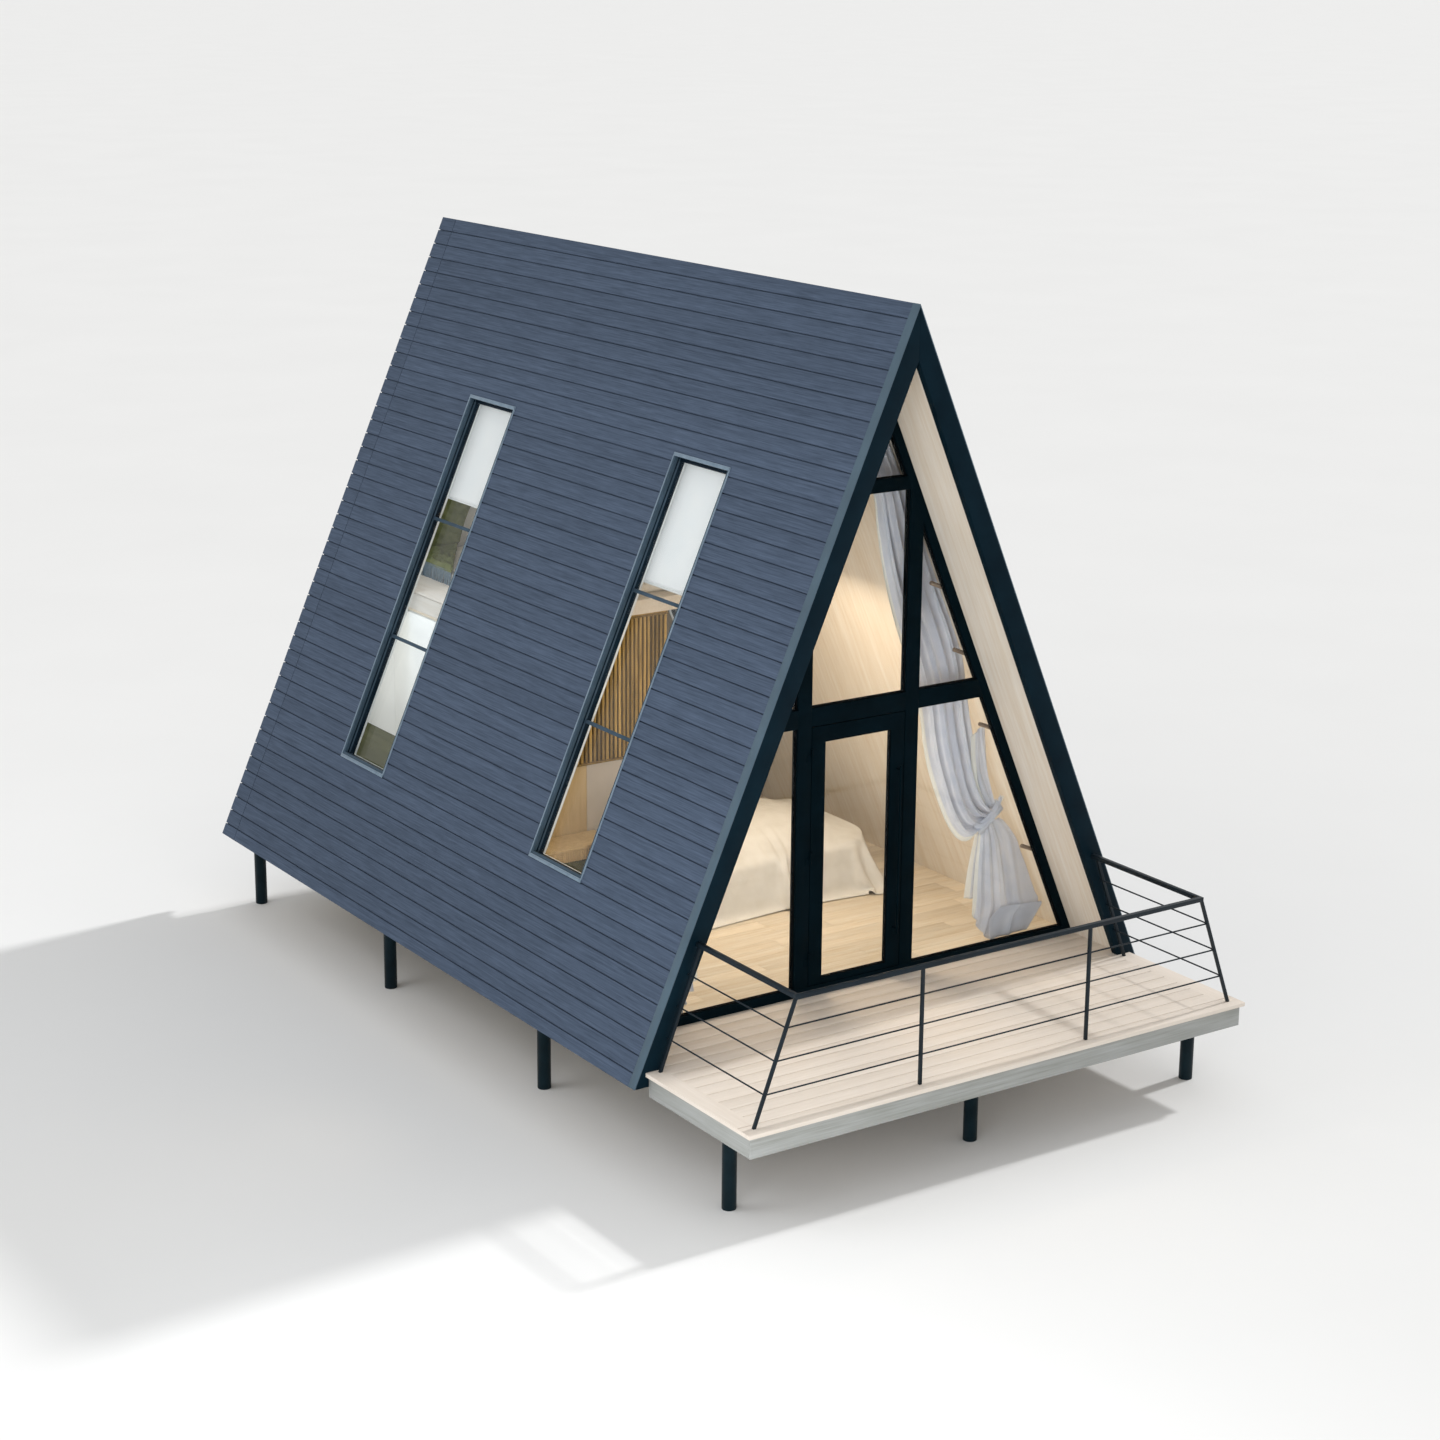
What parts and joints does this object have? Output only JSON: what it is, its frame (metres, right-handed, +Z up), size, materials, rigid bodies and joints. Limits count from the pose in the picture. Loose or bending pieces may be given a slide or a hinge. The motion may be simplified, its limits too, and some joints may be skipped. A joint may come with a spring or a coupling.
{
  "type": "a-frame cabin",
  "caption": "Small A-frame cabin on steel piles with plank-clad roof slopes, tall roof windows, a glazed front gable with an opening door and a railed timber deck.",
  "frame": {"origin": "middle of the footprint on the ground, under the piles", "axes": "+Z up, -Y towards the glazed gable and deck, +X to the right when facing the glazed gable"},
  "size_m": [4.8932, 8.54, 6.213],
  "materials": {
    "pile_steel": "satin powder coat",
    "frame_timber": "planed softwood",
    "floor_boards": "oiled",
    "deck_boards": "whitewashed",
    "railing_steel": "satin powder coat",
    "roof_planks": "slate-blue stained, brushed grain",
    "birch_lining": "clear matt",
    "fascia_metal": "satin",
    "verge_metal": "satin",
    "white_paint": "matt paint",
    "glazing_frame": "satin",
    "glass": "clear",
    "ironmongery": "satin",
    "window_frame": "satin",
    "blind_cloth": "plain weave",
    "bed_wood": "oiled",
    "bed_linen": "soft cotton",
    "curtain_voile": "sheer",
    "dark_wood": "oiled",
    "slat_wood": "oiled slats",
    "loft_boards": "pale lacquer",
    "olive_wool": "woven wool"
  },
  "bodies": {
    "cabin": {"piles": "pile_steel", "floor_frame": "frame_timber", "floor_panel": "floor_boards", "deck_boards": "deck_boards", "deck_skirt_front": "deck_boards", "deck_skirt_sides": "deck_boards", "railing_front": "railing_steel", "railing_left": "railing_steel", "railing_right": "railing_steel", "roof_core_left": "frame_timber", "roof_core_right": "frame_timber", "roof_cladding_left": "roof_planks", "roof_cladding_right": "roof_planks", "roof_lining_left": "birch_lining", "roof_lining_right": "birch_lining", "front_fascia_left": "fascia_metal", "front_fascia_right": "fascia_metal", "rear_fascia_left": "fascia_metal", "rear_fascia_right": "fascia_metal", "verge_trim": "verge_metal", "rear_wall": "white_paint", "rear_cladding": "roof_planks", "gable_sill": "glazing_frame", "mullions": "glazing_frame", "transoms": "glazing_frame", "rake_frame_left": "glazing_frame", "rake_frame_right": "glazing_frame", "gable_glass": "glass", "hinge_pins": "ironmongery", "roof_window_frames_left": "window_frame", "roof_window_frame_right": "window_frame", "roof_window_glass": "glass", "roller_blinds": "blind_cloth", "bed_base": "bed_wood", "mattress": "bed_linen", "duvet": "bed_linen", "pillows": "bed_linen", "curtains": "curtain_voile", "wall_pegs": "dark_wood", "slatted_partition": "slat_wood", "loft_floor": "loft_boards", "loft_mattress": "bed_linen", "loft_blanket": "olive_wool", "wardrobe": "white_paint"},
    "door": {"door_leaf": "glazing_frame", "door_glass": "glass", "door_handle": "ironmongery", "hinge_knuckles": "ironmongery"}
  },
  "joints": [
    {"name": "door_hinge", "type": "hinge", "parent": "cabin", "child": "door", "pos_m": [-0.447, -2.311, 1], "axis": [0, 0, -1], "range_deg": [0, 95]}
  ]
}
